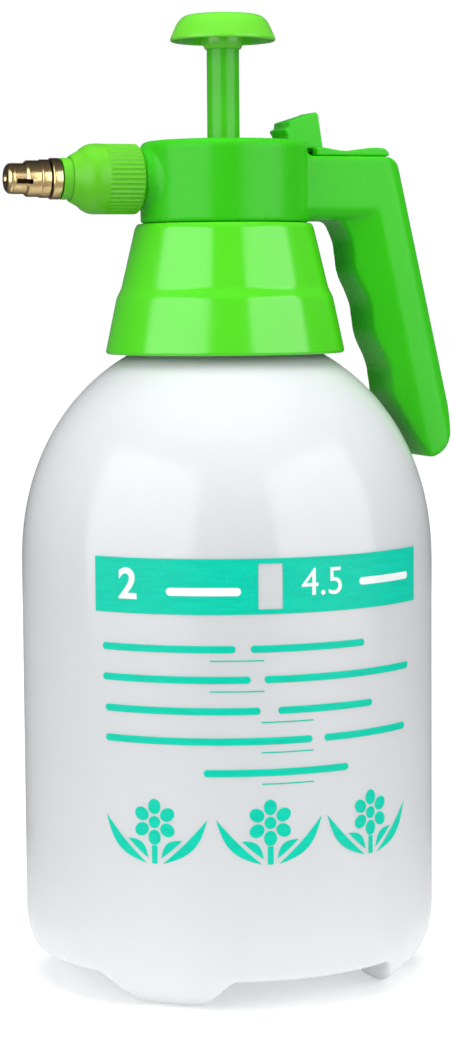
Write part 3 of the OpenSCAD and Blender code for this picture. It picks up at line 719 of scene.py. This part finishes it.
def knob():
    """Mushroom knob: domed crown, flared skirt and a hollow underside round the rod's boss."""
    socket = 293.5
    socket_r = ROD_R + 0.02
    crown = [(0.0, KNOB_TOP, 0), (6.0, KNOB_TOP - 0.12, 2), (11.9, KNOB_TOP - 0.75, 3.0),
             (13.9, KNOB_TOP - 2.6, 2.2), (15.4, KNOB_TOP - 5.8, 1.5), (KNOB_R, KNOB_TOP - 8.0, 0.6),
             (KNOB_R - 0.3, KNOB_TOP - 8.6, 0.4), (KNOB_R - 1.7, KNOB_TOP - 8.5, 0.4),
             (12.0, socket - 0.6, 1.2), (7.2, socket + 0.4, 0.9), (6.6, KNOB_TOP - 7.4, 0.8),
             (6.2, KNOB_LOW + 1.4, 1.0), (ROD_R + 0.5, KNOB_LOW, 0.3), (socket_r, KNOB_LOW, 0.2),
             (socket_r, socket, 0), (0.0, socket, 0)]
    return mesh_object("pump_knob_cap", turn_points(rounded(crown, closed=False), segments=128), 32)


def rod():
    """Plunger rod with the thin end that the piston sits on."""
    shoulder, end_r = node_box("piston")[1].z, 3.0
    outline = rounded([(0, ROD_TOP, 0), (ROD_R, ROD_TOP, 0.5), (ROD_R, shoulder, 0.4),
                       (end_r, shoulder, 0.2), (end_r, ROD_LOW, 0.5), (0, ROD_LOW, 0)], closed=False)
    return mesh_object("plunger_rod", turn_points(outline, segments=72), 35)


def union_nut():
    """Union nut: fine grip ribs, a plain band, a rounded shoulder and a cone."""
    ribs, rib_height = 44, 0.42
    rib_start, rib_end = NUT_START + 1.2, NUT_START + 10.9
    mouth_r = NUT_R - 0.8
    outline = rounded([(mouth_r, NUT_START, 0.3), (NUT_R, NUT_START + 0.7, 0.4), (NUT_R, rib_end, 0)],
                      closed=False)[:-1]
    steps, ribbed_length = 26, rib_end + 0.9 - rib_start
    outline += [Vector((NUT_R, rib_start + ribbed_length * i / steps)) for i in range(steps + 1)]
    shoulder, shoulder_x = 6.2, 42.0
    for degrees in range(0, 53, 5):
        a = math.radians(degrees)
        outline.append(Vector((NUT_R - shoulder * (1 - math.cos(a)), shoulder_x + shoulder * math.sin(a))))
    bore, seat_x, stub_bore = node_box("nozzle_gasket")[1].y + 2.1, 43.0, STUB_R + 0.07
    outline += rounded([(7.9, 47.9, 0.4), (STUB_R + 0.7, NUT_TIP, 0.5), (stub_bore, NUT_TIP, 0.2),
                        (stub_bore, seat_x, 0), (bore, seat_x, 0.2), (bore, NUT_START, 0.3),
                        (mouth_r, NUT_START, 0)], closed=False, steps=4)

    def ribbed(radius, along, angle):
        if radius < NUT_R - 1.0 or along > rib_end + 0.5:
            return radius, along
        fade = min(1.0, max(0.0, (along - NUT_START - 0.4) / 0.6), max(0.0, (rib_end + 0.5 - along) / 0.8))
        wave = 0.5 - 0.5 * math.cos(ribs * angle)
        return radius - rib_height * fade * wave ** 0.7, along

    bm = turn_points(outline, closed=True, segments=ribs * 8, place=turned_nozzle, shape=ribbed)
    bmesh.ops.remove_doubles(bm, verts=bm.verts, dist=1e-3)
    return mesh_object("union_nut_ribbed", bm, 50)


def brass_cap():
    """Adjusting cap turned from brass, with a seam groove, four slots and a drilled face."""
    seam, nose_r, waist_r, ring_r = SEAM_X, CAP_NOSE_R, 5.5, 5.8
    ring_bore = node_box("nozzle_o_ring")[1].y - 0.4 + 0.02
    ring_bore_end, bore_r, bore_end, hole_r = 60.5, 2.6, 66.0, 0.5
    outline = rounded([
        (CAP_R - 0.35, CAP_START, 0.1), (CAP_R, CAP_START + 0.35, 0.15), (CAP_R, seam - 0.35, 0.15),
        (CAP_R - 0.5, seam, 0.1), (CAP_R - 0.5, seam + 0.35, 0.1), (ring_r, seam + 0.65, 0.15),
        (ring_r, 58.9, 0.2), (waist_r + 0.05, 59.25, 0.1), (waist_r, 59.6, 0.1), (waist_r, 63.2, 0.25),
        (nose_r, 63.9, 0.25), (nose_r, CAP_TIP - 2.1, 0.1), (nose_r - 0.14, CAP_TIP - 1.95, 0.05),
        (nose_r - 0.14, CAP_TIP - 1.75, 0.05), (nose_r, CAP_TIP - 1.6, 0.1),
        (nose_r - 0.2, CAP_TIP - 0.8, 0.4), (3.5, CAP_TIP, 0.5), (1.5, CAP_TIP, 0.15),
        (hole_r, CAP_TIP - 1.0, 0.1), (hole_r, bore_end, 0),
        (bore_r, bore_end, 0), (bore_r, ring_bore_end, 0), (ring_bore, ring_bore_end, 0),
        (ring_bore, CAP_START, 0.15)], steps=3)
    turned = turn_points(outline, closed=True, segments=144, place=turned_nozzle)
    piece = mesh_object("brass_spray_cap", turned, 30)
    cutter = bmesh.new()
    slots, tall = 4, 2.4
    for k in range(slots):
        turn = Matrix.Rotation(math.radians(360 / slots * k + SLOT_TURN), 4, "X")
        block = bmesh.ops.create_cube(cutter, size=1.0)
        size = Matrix.Diagonal((SLOT_END - SLOT_START, SLOT_WIDTH, tall, 1.0))
        middle = Matrix.Translation((-(SLOT_START + SLOT_END) / 2, 0, NOZZLE_Z))
        place = middle @ turn @ Matrix.Translation((0, 0, SLOT_FLOOR_R + tall / 2)) @ size
        bmesh.ops.transform(cutter, matrix=place, verts=block["verts"])
    cutter_piece = mesh_object("slot_cutter", cutter)
    boolean = piece.modifiers.new("slots", "BOOLEAN")
    boolean.object = cutter_piece
    boolean.operation = "DIFFERENCE"
    boolean.solver = "EXACT"
    graph = bpy.context.evaluated_depsgraph_get()
    baked = bpy.data.meshes.new_from_object(piece.evaluated_get(graph), depsgraph=graph)
    piece.modifiers.clear()
    piece.data = baked
    baked.set_sharp_from_angle(angle=math.radians(30))
    bpy.data.objects.remove(cutter_piece)
    return piece


def stub():
    """Stub that the union nut clamps, with the bore that feeds the cap."""
    low, high = node_box("nozzle_body")
    start, end = -high.x, -low.x
    nose_r, bore = 4.5, 1.6
    outline = rounded([(bore, start, 0.1), (high.y, start, 0.3), (high.y, STUB_FLANGE_END, 0.3),
                       (STUB_R, STUB_FLANGE_END, 0.2), (STUB_R, STUB_END, 0.35), (nose_r, STUB_END, 0.2),
                       (nose_r, end, 0.4), (bore, end, 0.2)])
    return mesh_object("nozzle_stub", turn_points(outline, closed=True, segments=96, place=turned_nozzle), 35)


def valve_coil():
    """Valve spring wound from round wire."""
    low, high = node_box("valve_spring")
    middle_x, outer_r = (low.x + high.x) / 2, (high.y - low.y) / 2
    wire_r, turns, steps_per_turn, sides = 0.3, 4, 28, 10
    coil_r, count = outer_r - wire_r, turns * steps_per_turn
    rise = high.z - low.z - 2 * wire_r
    bm = bmesh.new()
    rings = []
    for i in range(count + 1):
        a = 2 * math.pi * i / steps_per_turn
        ring = []
        for k in range(sides):
            b = 2 * math.pi * k / sides
            r, z = coil_r + wire_r * math.cos(b), wire_r + rise * i / count + wire_r * math.sin(b)
            ring.append(bm.verts.new((middle_x + r * math.cos(a), r * math.sin(a), low.z + z)))
        rings.append(ring)
    bridge(bm, rings)
    bm.faces.new(rings[0])
    bm.faces.new(rings[-1][::-1])
    piece = finish_piece(mesh_object("valve_spring_coil", bm, 40), "head", LOOKS["steel"], "steel",
                         "valve_spring")
    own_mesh(piece)
    return piece


# ---------------------------------------------------------------------------
# Stage
# ---------------------------------------------------------------------------
def floor():
    """Round pale floor that fades into the white surroundings, and glows round the bottle's foot as painted
    light.
    """
    outline = [(r, 0) for r in (6000, 2000, 800, 300, 120, 40, 0)]
    piece = mesh_object("floor", turn_points(outline, segments=96))
    n = Nodes("floor_look")
    grain = n.noise(60.0, 3.0)
    n.set(Specular_IOR_Level=0.2)
    distance = n.add("ShaderNodeVectorMath", operation="LENGTH")
    n.link(n.place, distance.inputs[0])
    away = n.remap(distance.outputs["Value"], 0.09, 0.24, 0.0, 1.0)
    near_tone = n.mix(grain, (0.82, 0.82, 0.82), (0.86, 0.86, 0.86))
    n.finish(n.mix(away, near_tone, (0.25, 0.25, 0.25)), n.remap(grain, 0.3, 0.7, 0.45, 0.6))
    glow = n.add("ShaderNodeEmission")
    seen = n.add("ShaderNodeLightPath").outputs["Is Camera Ray"]
    seen_glow = n.math("MULTIPLY", seen, n.remap(away, 0.0, 1.0, 0.30, 1.0))
    # Painted light: the floor round the bottle's foot glows and lights the foot from below.
    foot_glow = n.remap(distance.outputs["Value"], 0.06, 0.12, 0.30, 0.0)
    n.link(n.math("MAXIMUM", seen_glow, foot_glow), glow.inputs["Strength"])
    total = n.add("ShaderNodeAddShader")
    n.link(n.principled.outputs[0], total.inputs[0])
    n.link(glow.outputs[0], total.inputs[1])
    n.link(total.outputs[0], n.output.inputs["Surface"])
    piece.data.materials.append(n.material)


def surroundings():
    """White backdrop to the camera, and a dimmer even fill to everything else."""
    world = bpy.data.worlds.new("surroundings")
    bpy.context.scene.world = world
    world.use_nodes = True
    tree = world.node_tree
    tree.nodes.clear()
    output = tree.nodes.new("ShaderNodeOutputWorld")
    seen = tree.nodes.new("ShaderNodeBackground")
    seen.inputs["Color"].default_value = (1, 1, 1, 1)
    fill = tree.nodes.new("ShaderNodeBackground")
    fill.inputs["Color"].default_value = (0.95, 0.97, 1.0, 1)
    fill.inputs["Strength"].default_value = 0.13
    paths = tree.nodes.new("ShaderNodeLightPath")
    pick = tree.nodes.new("ShaderNodeMixShader")
    tree.links.new(paths.outputs["Is Camera Ray"], pick.inputs[0])
    tree.links.new(fill.outputs[0], pick.inputs[1])
    tree.links.new(seen.outputs[0], pick.inputs[2])
    tree.links.new(pick.outputs[0], output.inputs["Surface"])


def softbox(name, azimuth, height, distance, width, tall, radiance, aim_z, mirrored=True):
    """Large soft panel at an azimuth round the object, aimed at its axis.

    A panel that isn't mirrored lights the object without being seen in its glossy surfaces.
    """
    light = bpy.data.lights.new(name, "AREA")
    light.shape = "RECTANGLE"
    light.size, light.size_y = width * MM, tall * MM
    light.energy = radiance * math.pi * width * tall * MM * MM
    lamp = bpy.data.objects.new(name, light)
    bpy.context.scene.collection.objects.link(lamp)
    a = math.radians(azimuth)
    lamp.location = Vector((distance * math.sin(a), -distance * math.cos(a), height)) * MM
    aim = Vector((0, 0, aim_z * MM)) - lamp.location
    lamp.rotation_mode = "QUATERNION"
    lamp.rotation_quaternion = aim.to_track_quat("-Z", "Y")
    lamp.visible_camera = False
    lamp.visible_glossy = mirrored


def camera():
    """Long lens a little above the middle of the object, turned towards the nozzle's side."""
    pixels_high, focal_pixels = 1045, 2640
    distance, eye_z, pitch, roll = 823.0, 215.4, 5.2, 0.45
    data = bpy.data.cameras.new("camera")
    data.sensor_width = 36.0
    data.lens = focal_pixels / pixels_high * data.sensor_width
    eye = bpy.data.objects.new("camera", data)
    bpy.context.scene.collection.objects.link(eye)
    a, p = math.radians(CAMERA_AZIMUTH), math.radians(pitch)
    back = Vector((math.sin(a), -math.cos(a), 0))
    eye.location = (back * distance + Vector((0, 0, eye_z))) * MM
    look = -back * math.cos(p) - Vector((0, 0, math.sin(p)))
    eye.rotation_mode = "QUATERNION"
    turn = Matrix.Rotation(math.radians(roll), 4, look)
    eye.rotation_quaternion = (turn @ look.to_track_quat("-Z", "Y").to_matrix().to_4x4()).to_quaternion()
    data.clip_start, data.clip_end = 0.01, 50
    bpy.context.scene.camera = eye


def studio():
    """Floor, surroundings, camera and four panels: two in front, one above and one behind."""
    floor()
    surroundings()
    softbox("left_softbox", CAMERA_AZIMUTH - 50, height=330, distance=900, width=1150, tall=1100,
            radiance=2.55, aim_z=190)
    softbox("right_softbox", CAMERA_AZIMUTH + 57, height=330, distance=900, width=1050, tall=1100,
            radiance=2.4, aim_z=190)
    softbox("top_softbox", CAMERA_AZIMUTH, height=1050, distance=120, width=900, tall=900,
            radiance=3.6, aim_z=180, mirrored=False)
    softbox("back_softbox", CAMERA_AZIMUTH + 180, height=400, distance=900, width=1200, tall=1000,
            radiance=1.3, aim_z=190, mirrored=False)
    camera()
    bpy.context.scene.view_settings.view_transform = "Standard"


# ---------------------------------------------------------------------------
# Assembly
# ---------------------------------------------------------------------------
HEAD_GREEN = (0.036, 0.515, 0.009)
COLLAR_GREEN = (0.080, 0.640, 0.012)
# Painted highlight: the knob is the head's green plastic, coloured lighter and yellower for the light on its
# top.
KNOB_GREEN_PAINTED_HIGHLIGHT = (0.140, 0.630, 0.030)
PLUNGER_GREEN = (0.058, 0.480, 0.012)
LIME = (0.115, 0.520, 0.018)
TEAL = (0.001, 0.580, 0.400)

LOOKS = {
    "head_plastic": moulded_plastic("head_plastic_look", HEAD_GREEN, roughness=0.24, gloss=0.22),
    "collar_plastic": moulded_plastic("collar_plastic_look", COLLAR_GREEN, roughness=0.16, gloss=0.7),
    "lime_plastic": moulded_plastic("lime_plastic_look", LIME, roughness=0.27, gloss=0.3),
    "white_plastic": moulded_plastic("white_plastic_look", (0.78, 0.78, 0.75), roughness=0.32, wear=0.1),
    "tube_plastic": moulded_plastic("tube_plastic_look", (0.72, 0.75, 0.76), roughness=0.22, glow=0.5,
                                    wear=0.05),
    "bottle_plastic": bottle_plastic(),
    "rubber_black": black_rubber(),
    "steel": bright_steel(),
    "brass": turned_brass(),
}


def dress_cad_nodes():
    """Gives every CAD node that stays in view the look of its material slot."""
    for part in frame["record"]["subparts"]:
        piece = frame["nodes"][part["node"]]
        piece.data.materials.clear()
        piece.data.materials.append(LOOKS[part["material_slot"]])
        for polygon in piece.data.polygons:
            polygon.material_index = 0


def build():
    dress_cad_nodes()
    # The knob's green carries a painted highlight.
    crown = moulded_plastic("knob_painted_highlight_look", KNOB_GREEN_PAINTED_HIGHLIGHT, roughness=0.18, gloss=0.6)
    plunger = moulded_plastic("plunger_look", PLUNGER_GREEN, roughness=0.20, gloss=0.35)
    head, green, lime = LOOKS["head_plastic"], LOOKS["collar_plastic"], LOOKS["lime_plastic"]
    milky = LOOKS["bottle_plastic"]
    finish_piece(bottle_body(), "bottle", milky, "bottle_plastic", "bottle")
    thread_low = MOUTH_Z - 5.5 - 2 * THREAD_PITCH - 1.0
    thread = helix_ridge("bottle_neck_thread", NECK_R - 0.1, NECK_CREST_R - 0.1, thread_low, 2.4)
    finish_piece(thread, "bottle", milky, "bottle_plastic")
    label(printing_ink("teal_ink", TEAL), printing_ink("white_ink", (0.86, 0.90, 0.89)))
    finish_piece(collar_ring(), "collar", green, "collar_plastic", "collar")
    finish_piece(knob(), "plunger", crown, "head_plastic", "pump_knob")
    finish_piece(rod(), "plunger", plunger, "head_plastic", "pump_rod")
    finish_piece(union_nut(), "union_nut", lime, "lime_plastic", "nozzle_nut")
    finish_piece(stub(), "nozzle", lime, "lime_plastic", "nozzle_body")
    valve_coil()
    finish_piece(brass_cap(), "cap", LOOKS["brass"], "brass", "nozzle_cap")
    finish_piece(moulded("head_shell", "head_moulding", 0.75, 6), "head", head, "head_plastic", "head_shell")
    finish_piece(moulded("handle_top_cover", "handle_cover_strip", 0.4, 4), "head", head, "head_plastic",
                 "handle_top_cover")
    finish_piece(moulded("thumb_lever", "thumb_lever_moulding", 0.3, 3), "lever", head, "head_plastic",
                 "thumb_lever")


build()
studio()
